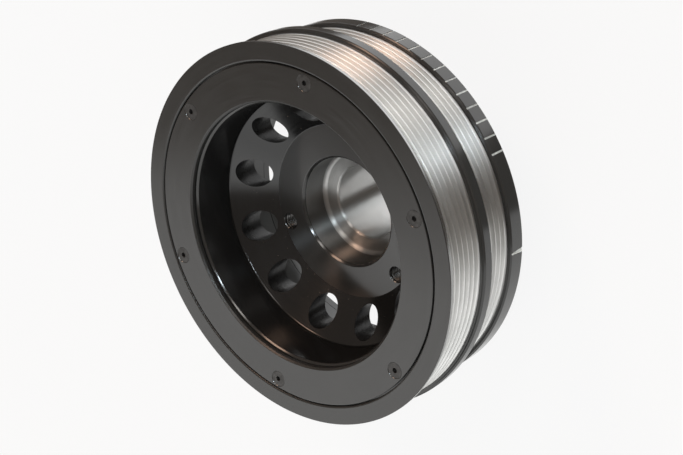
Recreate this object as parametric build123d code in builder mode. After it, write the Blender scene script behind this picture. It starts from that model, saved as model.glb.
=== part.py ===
from build123d import *
import os
from math import radians, tan

# Harmonic balancer for a V8 engine, in millimetres.
# Z is the crankshaft's axis and +Z points to the front of the engine. The part stands on the rear end of
# its sleeve, at Z = 0. Angles are measured about Z, from +X, where the timing notch is.

# Inertia ring, outside
flange_r = 96.0             # front flange and middle land
flange_width = 2.0          # flat on the front flange's edge
main_crest_drop = 2.25      # crests of the front pulley below the flange
main_groove_count = 6
land_shoulder = 2.0         # flat between the last groove and the land
land_width = 6.0
second_crest_drop = 5.2     # crests of the rear pulley below the land
second_groove_count = 4
second_front_shoulder = 3.1
second_rear_shoulder = 2.1
timing_drop = 3.0           # timing band below the flange
timing_width = 9.35
band_chamfer = 0.7          # on the edges of the land and the timing band
edge_break = 0.3            # small chamfer on the other turned corners

# Belt grooves
groove_pitch = 3.56
groove_depth = 2.7
groove_mouth = 2.86
groove_angle = 40.0

# Timing lines and notch
line_count = 13
line_start_angle = 30.0
line_step_angle = 5.0
line_width = 0.9
line_depth = 0.35
line_margin = 0.5           # plain metal left at each end of a line
notch_width = 2.6           # at the ring's rear face
notch_depth = 1.0
notch_taper = 0.35          # the notch's size at its front end, as a part of its size at the rear

# Inertia ring, inside
ring_face_width = 9.5       # front face, from the flange's edge to the recess for the plate
recess_fillet = 0.9         # rounded mouth of the recess
ring_wall = 11.4            # floor of the recess, from its wall to the ring's bore
lip_thickness = 4.4         # lip at the rear that traps the hub's rim
lip_overlap = 3.3           # how far the lip reaches over the rim
lip_chamfer = 0.9
rubber_thickness = 3.3

# Cover plate
plate_thickness = 2.5
plate_gap = 0.7             # open line round the plate
plate_set_back = 0.15       # plate's face below the ring's face
plate_step = 1.2            # the plate's bore is larger than the dish by this much
plate_chamfer = 0.4         # round the outside
plate_bore_chamfer = 0.9

# Cover screws, M4 countersunk
screw_count = 6
screw_angle = 22.0
screw_r = 2.0
screw_length = 10.0
screw_head_r = 4.1
screw_sink = 0.15           # top of the head below the plate's face
screw_tip_chamfer = 0.5
socket_across_flats = 2.5
socket_depth = 1.5
seat_clearance = 0.03       # head in its countersink
shank_clearance = 0.25      # shank in the plate
thread_clearance = 0.03     # shank in the tapped hole
tapped_reserve = 1.5        # full hole beyond the screw's tip
drill_point_angle = 118.0

# Hub, rim and web
rim_wall = 6.2              # in front of the web
rim_rear_wall = 4.1         # behind the web
rim_front_gap = 0.75        # rim to the back of the plate
rim_rear_gap = 1.0          # rim to the rear lip
rim_chamfer = 0.85
rubber_set_back = 0.75      # rubber below the rim's two ends
dish_depth = 40.9           # from the ring's face to the flat floor
cone_rise = 15.0            # front of the web, from the floor up to the dish's wall
floor_width = 16.2          # flat floor, from the counterbore's chamfer to the web's cone
web_thickness = 11.4        # along Z, on the circle of lightening holes
web_rear_slope = 0.42       # rise of the web's rear for each millimetre of radius
dish_fillet = 1.0
rear_fillet = 2.0

# Lightening holes, in the middle of the web's cone
hole_count = 12
hole_angle = 20.0
hole_margin = 2.5           # cone left inside and outside the holes

# Puller holes, M8
puller_count = 3
puller_angle = 82.0
puller_tap_r = 3.4
puller_sink_r = 4.4
puller_margin = 0.2         # floor left outside the countersinks

# Hub, middle
counterbore_r = 27.7
counterbore_chamfer = 1.1
counterbore_depth = 16.1    # from the floor of the dish to the seat of the crankshaft's bolt
counterbore_fillet = 2.3
boss_wall = 7.3             # round the counterbore
boss_reach = 1.0            # boss behind the ring's rear face
sleeve_r = 30.0             # runs in the crankshaft's seal
sleeve_reach = 33.0         # sleeve behind the ring's rear face
sleeve_lead_length = 3.0
sleeve_lead_drop = 1.0
sleeve_fillet = 1.0
bore_r = 18.8               # pressed on the crankshaft's nose
bore_front_chamfer = 0.8
bore_rear_chamfer = 1.0

# Widths along the ring, worked out from the front face
flank = tan(radians(groove_angle / 2))
flange_length = flange_width + main_crest_drop * flank
main_row_length = groove_mouth + (main_groove_count - 1) * groove_pitch
second_row_length = groove_mouth + (second_groove_count - 1) * groove_pitch
land_front = flange_length + main_row_length + land_shoulder
land_rear = land_front + land_width
second_front = land_rear + second_front_shoulder
timing_front = second_front + second_row_length + second_rear_shoulder
ring_width = timing_front + timing_width

# Radii, worked out from the flange inwards
crest_r = flange_r - main_crest_drop
second_crest_r = flange_r - second_crest_drop
timing_r = flange_r - timing_drop
recess_r = flange_r - ring_face_width
plate_r = recess_r - plate_gap
ring_bore_r = recess_r - ring_wall
screw_circle_r = (recess_r + ring_bore_r) / 2
rim_r = ring_bore_r - rubber_thickness
lip_r = rim_r - lip_overlap
dish_r = rim_r - rim_wall
plate_bore_r = dish_r + plate_step
rear_rim_r = rim_r - rim_rear_wall

# Radii, worked out from the counterbore outwards
floor_r = counterbore_r + counterbore_chamfer + floor_width
puller_circle_r = floor_r - puller_margin - puller_sink_r
boss_r = counterbore_r + boss_wall
hole_circle_r = (floor_r + dish_r) / 2
hole_r = (dish_r - floor_r) / 2 - hole_margin

# Heights above the sleeve's end
ring_rear_z = sleeve_reach
ring_front_z = ring_rear_z + ring_width
plate_front_z = ring_front_z - plate_set_back
plate_rear_z = plate_front_z - plate_thickness
lip_front_z = ring_rear_z + lip_thickness
rim_front_z = plate_rear_z - rim_front_gap
rim_rear_z = lip_front_z + rim_rear_gap
floor_z = ring_front_z - dish_depth
dish_wall_z = floor_z + cone_rise
seat_z = floor_z - counterbore_depth
boss_rear_z = ring_rear_z - boss_reach


def groove_outline(top_r, front, count):
    """Corners of a row of belt grooves in a pulley of radius top_r, from its front edge to the rear."""
    root_r = top_r - groove_depth
    flank_run = groove_depth * flank
    corners = []
    for number in range(count):
        mouth = front - number * groove_pitch
        corners += [
            (top_r, mouth),
            (root_r, mouth - flank_run),
            (root_r, mouth - groove_mouth + flank_run),
            (top_r, mouth - groove_mouth),
        ]
    return corners


def notch_outline(size):
    """Corners of the timing notch's V at a part of its full size, with its open side off the band."""
    depth = notch_depth * size
    width = notch_width * size
    return [(timing_r - depth, 0), (timing_r + depth, width), (timing_r + depth, -width)]


def web_rear_z(r):
    """Height of the web's rear face at radius r."""
    middle_z = (floor_z + dish_wall_z) / 2 - web_thickness
    return middle_z + web_rear_slope * (r - hole_circle_r)


# Inertia ring: pulleys, land and timing band turned in one piece
land_front_z = ring_front_z - land_front
land_rear_z = ring_front_z - land_rear
timing_front_z = ring_front_z - timing_front
# The flange's flank runs on into the first groove without a corner
main_outline = groove_outline(crest_r, ring_front_z - flange_length, main_groove_count)[1:]
second_outline = groove_outline(second_crest_r, ring_front_z - second_front, second_groove_count)
ring_outside = [
    (flange_r - edge_break, ring_front_z),
    (flange_r, ring_front_z - edge_break),
    (flange_r, ring_front_z - flange_width),
    *main_outline,
    (crest_r, land_front_z),
    (flange_r - band_chamfer, land_front_z),
    (flange_r, land_front_z - band_chamfer),
    (flange_r, land_rear_z + band_chamfer),
    (flange_r - band_chamfer, land_rear_z),
    (second_crest_r, land_rear_z),
    *second_outline,
    (second_crest_r, timing_front_z),
    (timing_r - band_chamfer, timing_front_z),
    (timing_r, timing_front_z - band_chamfer),
    (timing_r, ring_rear_z + band_chamfer),
    (timing_r - band_chamfer, ring_rear_z),
]
ring_inside = [
    (lip_r + lip_chamfer, ring_rear_z),
    (lip_r, ring_rear_z + lip_chamfer),
    (lip_r, lip_front_z),
    (ring_bore_r, lip_front_z),
    (ring_bore_r, plate_rear_z),
    (recess_r, plate_rear_z),
]
ring_corners = ring_outside + ring_inside
recess_mouth = (recess_r, ring_front_z)
tapped_r = screw_r + thread_clearance
tapped_depth = screw_sink + screw_length - plate_thickness + tapped_reserve
drill_point_length = tapped_r / tan(radians(drill_point_angle / 2))

with BuildPart() as inertia_ring:
    with BuildSketch(Plane.XZ):
        with BuildLine():
            FilletPolyline(
                *ring_corners,
                recess_mouth,
                radius=[0] * len(ring_corners) + [recess_fillet],
                close=True,
            )
        make_face()
    revolve(axis=Axis.Z)

    # Tapped holes for the cover screws
    with Locations(Plane.XY.offset(plate_rear_z)):
        with PolarLocations(screw_circle_r, screw_count, screw_angle):
            Hole(tapped_r, depth=tapped_depth)
    with Locations(Plane.XY.offset(plate_rear_z - tapped_depth)):
        with PolarLocations(screw_circle_r, screw_count, screw_angle):
            Cone(
                0,
                tapped_r,
                drill_point_length,
                align=(Align.CENTER, Align.CENTER, Align.MAX),
                mode=Mode.SUBTRACT,
            )

    # Timing lines, engraved along the band
    line_span = line_step_angle * (line_count - 1)
    line_length = timing_width - 2 * line_margin
    with Locations(Plane.XY.offset(ring_rear_z + timing_width / 2)):
        with PolarLocations(timing_r, line_count, line_start_angle, line_span, endpoint=True):
            Box(2 * line_depth, line_width, line_length, mode=Mode.SUBTRACT)

    # Timing notch, a V that grows wider and deeper towards the rear
    with BuildSketch(Plane.XY.offset(ring_rear_z)):
        with BuildLine():
            Polyline(*notch_outline(1), close=True)
        make_face()
    with BuildSketch(Plane.XY.offset(timing_front_z - line_margin)):
        with BuildLine():
            Polyline(*notch_outline(notch_taper), close=True)
        make_face()
    loft(mode=Mode.SUBTRACT)

inertia_ring.part.label = "inertia_ring"

# Hub: dish, conical web, rim, boss and sleeve turned in one piece, each corner with its fillet's radius
hub_corners = [
    ((rim_r, rim_front_z), 0),
    ((rim_r, rim_rear_z), 0),
    ((rear_rim_r, rim_rear_z), 0),
    ((rear_rim_r, web_rear_z(rear_rim_r)), rear_fillet),
    ((boss_r, web_rear_z(boss_r)), rear_fillet),
    ((boss_r, boss_rear_z + edge_break), 0),
    ((boss_r - edge_break, boss_rear_z), 0),
    ((sleeve_r, boss_rear_z), sleeve_fillet),
    ((sleeve_r, sleeve_lead_length), 0),
    ((sleeve_r - sleeve_lead_drop, 0), 0),
    ((bore_r + bore_rear_chamfer, 0), 0),
    ((bore_r, bore_rear_chamfer), 0),
    ((bore_r, seat_z - bore_front_chamfer), 0),
    ((bore_r + bore_front_chamfer, seat_z), 0),
    ((counterbore_r, seat_z), counterbore_fillet),
    ((counterbore_r, floor_z - counterbore_chamfer), 0),
    ((counterbore_r + counterbore_chamfer, floor_z), 0),
    ((floor_r, floor_z), 0),
    ((dish_r, dish_wall_z), dish_fillet),
    ((dish_r, rim_front_z - rim_chamfer), 0),
    ((dish_r + rim_chamfer, rim_front_z), 0),
]

with BuildPart() as hub:
    with BuildSketch(Plane.XZ):
        with BuildLine():
            FilletPolyline(
                *[corner for corner, fillet_r in hub_corners],
                radius=[fillet_r for corner, fillet_r in hub_corners],
                close=True,
            )
        make_face()
    revolve(axis=Axis.Z)

    # Lightening holes, bored straight through the web
    with BuildSketch(Plane.XY.offset(rim_rear_z)):
        with PolarLocations(hole_circle_r, hole_count, hole_angle):
            Circle(hole_r)
    extrude(amount=dish_wall_z - rim_rear_z, mode=Mode.SUBTRACT)

    # Puller holes, tapped through the floor beside the boss
    with Locations(Plane.XY.offset(floor_z)):
        with PolarLocations(puller_circle_r, puller_count, puller_angle):
            CounterSinkHole(puller_tap_r, puller_sink_r, counter_sink_angle=90)

hub.part.label = "hub"

# Damping ring: the rubber bonded between the hub's rim and the inertia ring
with BuildPart() as damping_ring:
    with BuildSketch(Plane.XY.offset(rim_rear_z + rubber_set_back)):
        Circle(ring_bore_r)
        Circle(rim_r, mode=Mode.SUBTRACT)
    extrude(amount=rim_front_z - rim_rear_z - 2 * rubber_set_back)

damping_ring.part.label = "damping_ring"

# Cover plate: a flat ring with its front edges broken and six countersinks
with BuildPart() as cover_plate:
    with BuildSketch(Plane.XY.offset(plate_rear_z)):
        Circle(plate_r)
        Circle(plate_bore_r, mode=Mode.SUBTRACT)
    extrude(amount=plate_thickness)
    chamfer(cover_plate.faces().sort_by(Axis.Z)[-1].outer_wire().edges(), plate_chamfer)
    chamfer(cover_plate.faces().sort_by(Axis.Z)[-1].inner_wires().edges(), plate_bore_chamfer)
    with Locations(Plane.XY.offset(plate_front_z)):
        with PolarLocations(screw_circle_r, screw_count, screw_angle):
            CounterSinkHole(
                screw_r + shank_clearance,
                screw_head_r + screw_sink + seat_clearance,
                counter_sink_angle=90,
            )

cover_plate.part.label = "cover_plate"

# Cover screw, turned about Z with the top of its head at Z = 0
screw_outline = [
    (0, 0),
    (screw_head_r, 0),
    (screw_r, screw_r - screw_head_r),
    (screw_r, screw_tip_chamfer - screw_length),
    (screw_r - screw_tip_chamfer, -screw_length),
    (0, -screw_length),
]

with BuildPart() as cover_screw:
    with BuildSketch(Plane.XZ):
        with BuildLine():
            Polyline(*screw_outline, close=True)
        make_face()
    revolve(axis=Axis.Z)
    with BuildSketch(Plane.XY):
        RegularPolygon(socket_across_flats / 2, 6, major_radius=False)
    extrude(amount=-socket_depth, mode=Mode.SUBTRACT)

# The kept pieces, with a screw in each hole of the plate
pieces = [inertia_ring, hub, damping_ring, cover_plate]
for number in range(screw_count):
    angle = screw_angle + number * 360 / screw_count
    with BuildPart() as placed_screw:
        with Locations(Plane.XY.offset(plate_front_z - screw_sink)):
            with PolarLocations(screw_circle_r, 1, angle):
                add(cover_screw.part)
    placed_screw.part.label = f"cover_screw_{number + 1}"
    pieces.append(placed_screw)

os.makedirs("parts", exist_ok=True)
for piece in pieces:
    export_step(piece.part, f"parts/{piece.part.label}.step")
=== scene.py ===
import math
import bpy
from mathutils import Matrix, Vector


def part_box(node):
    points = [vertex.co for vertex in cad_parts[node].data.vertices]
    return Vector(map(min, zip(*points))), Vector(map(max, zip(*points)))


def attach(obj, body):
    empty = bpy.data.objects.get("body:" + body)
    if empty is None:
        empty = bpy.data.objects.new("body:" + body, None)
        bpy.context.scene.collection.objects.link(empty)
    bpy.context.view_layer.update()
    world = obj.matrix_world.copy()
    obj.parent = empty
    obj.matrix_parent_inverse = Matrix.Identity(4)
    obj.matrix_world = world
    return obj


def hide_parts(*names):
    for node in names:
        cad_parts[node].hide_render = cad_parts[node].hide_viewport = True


bl_info = {
    "name": "Harmonic Balancer",
    "version": (1, 0, 0),
    "blender": (4, 5, 0),
    "location": "3D View > Sidebar > Balancer",
    "description": "Turns, drills and finishes the pieces of an engine's harmonic balancer",
    "category": "Add Mesh",
}

import bmesh
import bpy
from mathutils import Vector

# Lengths are in metres and sizes are given in millimetres. The crankshaft's axis is Z, and the front of
# the balancer looks up. +X goes through the timing notch.
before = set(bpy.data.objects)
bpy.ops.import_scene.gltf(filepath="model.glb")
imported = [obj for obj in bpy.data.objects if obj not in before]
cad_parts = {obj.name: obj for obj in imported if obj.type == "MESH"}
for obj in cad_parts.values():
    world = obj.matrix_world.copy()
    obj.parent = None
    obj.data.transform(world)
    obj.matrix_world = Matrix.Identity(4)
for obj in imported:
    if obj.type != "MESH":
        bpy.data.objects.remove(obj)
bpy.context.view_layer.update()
RING_LOW, RING_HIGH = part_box("inertia_ring")
HUB_LOW, HUB_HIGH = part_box("hub")
PLATE_LOW, PLATE_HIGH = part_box("cover_plate")

MM = 0.001
WELD = 1e-6                # corners nearer than this are one corner
TURN_STEPS = 240           # facets round a turned piece
HOLE_STEPS = 64            # facets round a drilled hole
SCREW_STEPS = 48
FINE_ROUNDING = 0.45 * MM  # a rounding smaller than this takes fine steps, and the others round steps
FINE_STEPS = 2
ROUND_STEPS = 8
PAST = 1.0 * MM            # how far a cutter goes on beyond the face that it cuts
NEAR = 0.1 * MM            # how far a face's middle may be from the height or radius that it belongs to
SEAT_NEAR = 0.03 * MM      # the same for the bolt's seat
THREAD_ROOT_DEPTH = 0.05 * MM   # how deep a thread's ridge goes into what bears it
SMOOTH_ANGLE = math.radians(24)
SCREW_COUNT = 6
SCREW_TURN = 0.37          # radians between the hexagons of two screws
PULLER_TURNS = 5           # turns of thread in a puller hole
PULLER_START = 1.2         # turns between the hub's floor and the thread's front end
PAINT_DEPTH = 0.6          # part of a timing line's depth that is left free of paint
SQUARE_ROOT_3 = math.sqrt(3)
# Lamps of the studio: direction, half width and softness in degrees, colour, brightness
LAMPS = (
    ((0.49, 0.43, 0.76), 3.0, 0.6, (0.80, 0.92, 1.0), 58.0),
    ((0.20, 0.64, 0.74), 6.5, 1.5, (1.0, 0.95, 0.90), 8.0),
    ((-0.30, 0.76, 0.57), 9.0, 2.0, (1.0, 0.66, 0.48), 10.0),
)
# The studio is drawn by direction: Y is up in the photo and Z points to the front of the balancer
AROUND = (-0.3, 0.3)       # Z over which the light behind changes to the light in front
CARD_EDGE = (0.14, 0.357)  # how far the white cards end below the horizon, behind and in front
NEAR_EDGE = (0.63, 0.72)   # Z over which the front card's edge drops and softens towards the camera
NEAR_DROP = 0.043
CARD_SOFTNESS = (0.01, 0.05)
CARD_BEHIND = 0.79         # brightness of the card behind, for that in front
NEAR_GLOW = (0.60, 0.72)   # Z over which the front card grows brighter towards the camera
NEAR_GAIN = 0.35
CARD_FOOT = (-0.85, -0.65)      # Y over which the card behind grows dark at its foot
FOOT_LIGHT = 0.35
BEHIND = (0.1, -0.1)       # Z over which what is behind starts
SOFTBOX_EDGE = (0.38, 0.43)     # Y over which the softbox starts
ROOM_BEHIND = 0.45         # brightness of the room behind, for that in front

# A face's normal tells what it is: this near to Z it is level, and this near a flat wall
LEVEL_FACING = 0.99999
WALL_FACING = 0.97
UPRIGHT_FACING = 0.3       # a face whose normal is further from Z than this stands upright


def length(name, description, millimetres):
    """A size property, given in millimetres."""
    return bpy.props.FloatProperty(
        name=name,
        description=description,
        default=millimetres * MM,
        precision=5,
        subtype="DISTANCE",
        unit="LENGTH",
    )


def angle(name, description, degrees):
    """An angle property, given in degrees."""
    return bpy.props.FloatProperty(
        name=name,
        description=description,
        default=math.radians(degrees),
        subtype="ANGLE",
        unit="ROTATION",
    )


def share(name, description, default):
    """A property from 0 to 1."""
    return bpy.props.FloatProperty(
        name=name, description=description, default=default, min=0.0, max=1.0, subtype="FACTOR"
    )


def plain(name, description, default):
    """A property without a unit."""
    return bpy.props.FloatProperty(name=name, description=description, default=default)


def how_many(name, description, default):
    """How many there are of something."""
    return bpy.props.IntProperty(name=name, description=description, default=default, min=1)


def colour(name, description, default):
    """A colour property."""
    return bpy.props.FloatVectorProperty(
        name=name, description=description, default=default, size=3, min=0.0, max=1.0, subtype="COLOR"
    )


class BalancerRing(bpy.types.PropertyGroup):
    """Sizes of the inertia ring."""

    flange_radius: length("Flange radius", "Front flange and middle land", 96.0)
    flange_width: length("Flange width", "Flat on the front flange's edge", 2.0)
    main_crest_drop: length("Front pulley drop", "Crests of the front pulley below the flange", 2.25)
    main_grooves: how_many("Front grooves", "Grooves of the front pulley", 6)
    land_shoulder: length("Land shoulder", "Flat between the last front groove and the land", 2.0)
    land_width: length("Land width", "Width of the middle land", 6.0)
    second_crest_drop: length("Rear pulley drop", "Crests of the rear pulley below the land", 5.2)
    second_grooves: how_many("Rear grooves", "Grooves of the rear pulley", 4)
    second_front_shoulder: length("Rear pulley, front shoulder", "Flat in front of its grooves", 3.1)
    timing_drop: length("Timing band drop", "Timing band below the flange", 3.0)
    timing_width: length("Timing band width", "Width of the timing band", 9.35)
    groove_pitch: length("Groove pitch", "Distance between belt grooves", 3.56)
    groove_depth: length("Groove depth", "Depth of a belt groove", 2.7)
    groove_mouth: length("Groove mouth", "Width of a belt groove at its crests", 2.86)
    groove_angle: angle("Groove angle", "Angle between a groove's flanks", 40.0)
    crest_round: length("Crest rounding", "Rounding of a groove's crests", 0.3)
    root_round: length("Root rounding", "Rounding of a groove's root", 0.35)
    face_width: length("Face width", "Front face, from the edge to the recess for the plate", 9.5)
    recess_round: length("Recess rounding", "Rounded mouth of the recess", 0.9)
    wall: length("Wall", "Floor of the recess, from its wall to the ring's bore", 11.4)
    lip_thickness: length("Lip thickness", "Lip that traps the hub's rim", 4.4)
    lip_radius: length("Lip radius", "Opening of the rear lip", 68.5)
    lip_chamfer: length("Lip chamfer", "Chamfer of the lip's rear edge", 0.9)
    band_chamfer: length("Band chamfer", "On the edges of the land and the timing band", 0.7)
    land_round: length("Land foot rounding", "Where the front pulley meets the land", 0.8)
    edge_break: length("Edge break", "Rounding of the other turned corners", 0.3)
    fine_edge: length("Fine edge", "Rounding of the edges of a chamfer", 0.12)


class BalancerTiming(bpy.types.PropertyGroup):
    """Sizes of the timing lines and the notch."""

    line_count: how_many("Lines", "Number of timing lines", 13)
    line_start: angle("First line", "From the notch to the first line", 30.0)
    line_step: angle("Line step", "Between two lines", 5.0)
    line_width: length("Line width", "Width of an engraved line", 0.9)
    line_depth: length("Line depth", "Depth of an engraved line", 0.35)
    line_margin: length("Line margin", "Plain metal left at each end of a line", 0.5)
    notch_width: length("Notch width", "At the ring's rear face", 2.6)
    notch_depth: length("Notch depth", "At the ring's rear face", 1.0)
    notch_taper: share("Notch taper", "Size of the notch at its front end, as a part of the rear", 0.35)


class BalancerHub(bpy.types.PropertyGroup):
    """Sizes of the hub."""

    rim_radius: length("Rim radius", "Outside of the hub's rim", 71.8)
    rim_rear: length("Rim rear", "Height of the rim's rear end", 38.4)
    dish_radius: length("Dish radius", "Wall of the dish", 65.6)
    rear_rim_radius: length("Rear rim radius", "Inside of the rim behind the web", 67.7)
    rim_chamfer: length("Rim chamfer", "Lead-in at the mouth of the dish", 0.85)
    dish_depth: length("Dish depth", "From the ring's face to the flat floor", 40.9)
    cone_rise: length("Cone rise", "From the floor up to the dish's wall", 15.0)
    floor_radius: length("Floor radius", "Edge of the flat floor", 45.0)
    web_thickness: length("Web thickness", "Along the axis, on the circle of holes", 11.4)
    web_rear_slope: plain("Web rear slope", "Rise of the web's rear for its radius", 0.42)
    dish_round: length("Dish rounding", "Where the cone meets the dish's wall", 1.0)
    rear_rim_round: length("Rear rim rounding", "Where the web's rear meets the rim", 3.0)
    rear_boss_round: length("Rear boss rounding", "Where the web's rear meets the boss", 1.3)
    hole_radius: length("Hole radius", "Lightening holes", 7.8)
    hole_circle: length("Hole circle", "Radius of the circle of lightening holes", 55.3)
    hole_angle: angle("Hole angle", "From the notch to the first lightening hole", 20.0)
    hole_count: how_many("Holes", "Number of lightening holes", 12)
    puller_radius: length("Puller thread radius", "Large radius of the puller holes' thread", 4.0)
    puller_crest: length("Puller crest radius", "Small radius of the puller holes' thread", 3.4)
    puller_sink: length("Puller countersink", "Radius of the countersink", 4.4)
    puller_pitch: length("Puller pitch", "Pitch of the puller holes' thread", 1.25)
    puller_circle: length("Puller circle", "Radius of the circle of puller holes", 40.4)
    puller_angle: angle("Puller angle", "From the notch to the first puller hole", 82.0)
    puller_count: how_many("Puller holes", "Number of puller holes", 3)
    counterbore_radius: length("Counterbore radius", "Room for the bolt's head", 27.7)
    counterbore_chamfer: length("Counterbore chamfer", "Chamfer of its mouth", 1.1)
    counterbore_depth: length("Counterbore depth", "From the floor to the bolt's seat", 16.1)
    counterbore_round: length("Counterbore rounding", "Where its wall meets the seat", 2.3)
    boss_radius: length("Boss radius", "Boss behind the web", 35.0)
    boss_reach: length("Boss reach", "Boss behind the ring's rear face", 1.0)
    sleeve_radius: length("Sleeve radius", "Surface that runs in the seal", 30.0)
    sleeve_lead_length: length("Lead-in length", "Taper at the sleeve's end", 3.0)
    sleeve_lead_drop: length("Lead-in drop", "Taper at the sleeve's end", 1.0)
    sleeve_round: length("Sleeve rounding", "Where the sleeve meets the boss", 1.0)
    bore_radius: length("Bore radius", "Bore pressed on the crankshaft", 18.8)
    bore_front_chamfer: length("Bore front chamfer", "Chamfer at the bolt's seat", 0.8)
    bore_rear_chamfer: length("Bore rear chamfer", "Chamfer at the sleeve's end", 1.0)
    edge_break: length("Edge break", "Small chamfer on the turned corners", 0.2)


class BalancerPlate(bpy.types.PropertyGroup):
    """Sizes of the cover plate and its screws."""

    outer_radius: length("Outer radius", "Outside of the plate", 85.8)
    bore_radius: length("Bore radius", "Inside of the plate", 66.8)
    chamfer: length("Chamfer", "Outer front edge of the plate", 0.4)
    bore_chamfer: length("Bore chamfer", "Inner front edge of the plate", 0.9)
    fine_edge: length("Fine edge", "Rounding of the edges of a chamfer", 0.12)
    shank_hole_radius: length("Shank hole radius", "Hole for a screw's shank", 2.25)
    tapped_hole_radius: length("Tapped hole radius", "Hole for a screw in the ring", 2.03)
    tapped_hole_reserve: length("Tapped hole reserve", "Full hole beyond the screw's tip", 1.5)
    head_radius: length("Head radius", "Screw head", 4.1)
    head_edge: length("Head edge", "Rounding of the head's rim", 0.12)
    seat_clearance: length("Seat clearance", "Head in its countersink", 0.03)
    thread_radius: length("Thread radius", "Large radius of the screw's thread", 2.0)
    thread_root: length("Thread root", "Small radius of the screw's thread", 1.6)
    thread_pitch: length("Thread pitch", "Pitch of the screw's thread", 0.7)
    tip_chamfer: length("Tip chamfer", "Chamfer at the screw's tip", 0.5)
    socket_width: length("Socket width", "Across the flats of the hexagon", 2.5)
    socket_depth: length("Socket depth", "Depth of the hexagon", 1.5)


class BalancerFinish(bpy.types.PropertyGroup):
    """Colours and gloss of the finishes."""

    satin_black: colour("Satin black", "Ring's face, land, timing band and plate", (0.027, 0.027, 0.026))
    satin_roughness: share("Satin roughness", "Roughness of the satin black", 0.14)
    gloss_black: colour("Gloss black", "Web of the hub", (0.008, 0.008, 0.008))
    gloss_roughness: share("Gloss roughness", "Roughness of the gloss black", 0.16)
    wall_black: colour("Wall black", "Wall of the hub's dish", (0.012, 0.012, 0.012))
    steel: colour("Steel", "Bare turned steel", (0.60, 0.60, 0.59))
    steel_roughness: share("Steel roughness", "Roughness of the bare steel", 0.31)
    line_paint: colour("Line paint", "Paint in the timing lines", (0.72, 0.74, 0.71))
    rubber: colour("Rubber", "Damping ring", (0.014, 0.014, 0.014))
    screw_black: colour("Screw black", "Black oxide of the cover screws", (0.035, 0.034, 0.033))
    dust: colour("Dust", "Specks of dust in the dish", (0.16, 0.13, 0.10))


class BalancerStage(bpy.types.PropertyGroup):
    """Camera, floor and lights."""

    camera_place: bpy.props.FloatVectorProperty(
        name="Camera place",
        description="Where the photographer's camera stands",
        default=(0.4935, 0.3222, 0.6226),
        subtype="TRANSLATION",
        unit="LENGTH",
    )
    camera_turn: bpy.props.FloatVectorProperty(
        name="Camera turn",
        description="How the camera is turned about X, Y and Z",
        default=(math.radians(-24.41), math.radians(40.62), math.radians(-1.16)),
        subtype="EULER",
        unit="ROTATION",
    )
    camera_lens: plain("Lens", "Focal length in millimetres, on a 36 mm sensor", 87.65)
    floor_size: length("Floor size", "Side of the floor", 6000.0)
    floor_colour: colour("Floor colour", "Pale floor", (0.08, 0.08, 0.08))
    floor_glow: share("Floor glow", "Light that the floor gives off itself", 0.88)
    card: colour("White card", "Light from the white cards below", (1.0, 1.0, 0.99))
    card_strength: plain("White card strength", "Brightness of the white cards", 1.4)
    room: colour("Room", "Dark room between the lights", (1.0, 0.86, 0.75))
    room_strength: plain("Room strength", "Brightness of the room in front", 0.28)
    softbox_strength: plain("Softbox strength", "Brightness of the softbox above", 1.95)


def deselect():
    """Leaves edit mode and selects nothing."""
    if bpy.context.object and bpy.context.object.mode != "OBJECT":
        bpy.ops.object.mode_set(mode="OBJECT")
    bpy.ops.object.select_all(action="DESELECT")


def select_only(piece):
    """Selects one object and makes it active."""
    deselect()
    piece.select_set(True)
    bpy.context.view_layer.objects.active = piece


def weld():
    """In edit mode, joins the corners that are in one place."""
    bpy.ops.mesh.select_all(action="SELECT")
    bpy.ops.mesh.remove_doubles(threshold=WELD)


def apply_modifier(piece, kind, **settings):
    """Gives the active piece a modifier with its settings, and applies it."""
    bpy.ops.object.modifier_add(type=kind)
    modifier = piece.modifiers[-1]
    for name, value in settings.items():
        setattr(modifier, name, value)
    bpy.ops.object.modifier_apply(modifier=modifier.name)


def select_corners(piece, test):
    """In edit mode, selects the corners whose place passes a test."""
    bpy.ops.mesh.select_mode(type="VERT")
    bpy.ops.mesh.select_all(action="DESELECT")
    mesh = bmesh.from_edit_mesh(piece.data)
    for corner in mesh.verts:
        corner.select_set(test(corner.co))
    mesh.select_flush_mode()
    bmesh.update_edit_mesh(piece.data)


def draw_section(name, corners):
    """Draws a closed section in the XZ plane, one extruded corner after the other, and rounds its corners.

    A corner is its radius, its height and the length of edge that its rounding takes.
    """
    deselect()
    here = Vector((corners[0][0], 0, corners[0][1]))
    bpy.ops.mesh.primitive_plane_add(size=WELD, location=here)
    piece = bpy.context.object
    piece.name = name
    bpy.ops.object.transform_apply()
    bpy.ops.object.mode_set(mode="EDIT")
    bpy.ops.mesh.select_all(action="SELECT")
    bpy.ops.mesh.merge(type="CENTER")
    for radius, height, rounding in corners[1:] + corners[:1]:
        there = Vector((radius, 0, height))
        bpy.ops.mesh.extrude_region_move(TRANSFORM_OT_translate={"value": there - here})
        here = there
    weld()
    for size in sorted({rounding for radius, height, rounding in corners if rounding}):
        places = [Vector((radius, 0, height)) for radius, height, rounding in corners if rounding == size]
        select_corners(piece, lambda co: any((co - place).length < WELD for place in places))
        steps = FINE_STEPS if size < FINE_ROUNDING else ROUND_STEPS
        bpy.ops.mesh.bevel(offset=size, segments=steps, affect="VERTICES", clamp_overlap=False)
    return piece


def turn(name, corners, steps=TURN_STEPS):
    """Spins a closed section about Z."""
    piece = draw_section(name, corners)
    bpy.ops.mesh.select_all(action="SELECT")
    bpy.ops.mesh.spin(steps=steps, angle=math.tau, center=(0, 0, 0), axis=(0, 0, 1))
    weld()
    bpy.ops.mesh.normals_make_consistent(inside=False)
    bpy.ops.object.mode_set(mode="OBJECT")
    return piece


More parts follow.
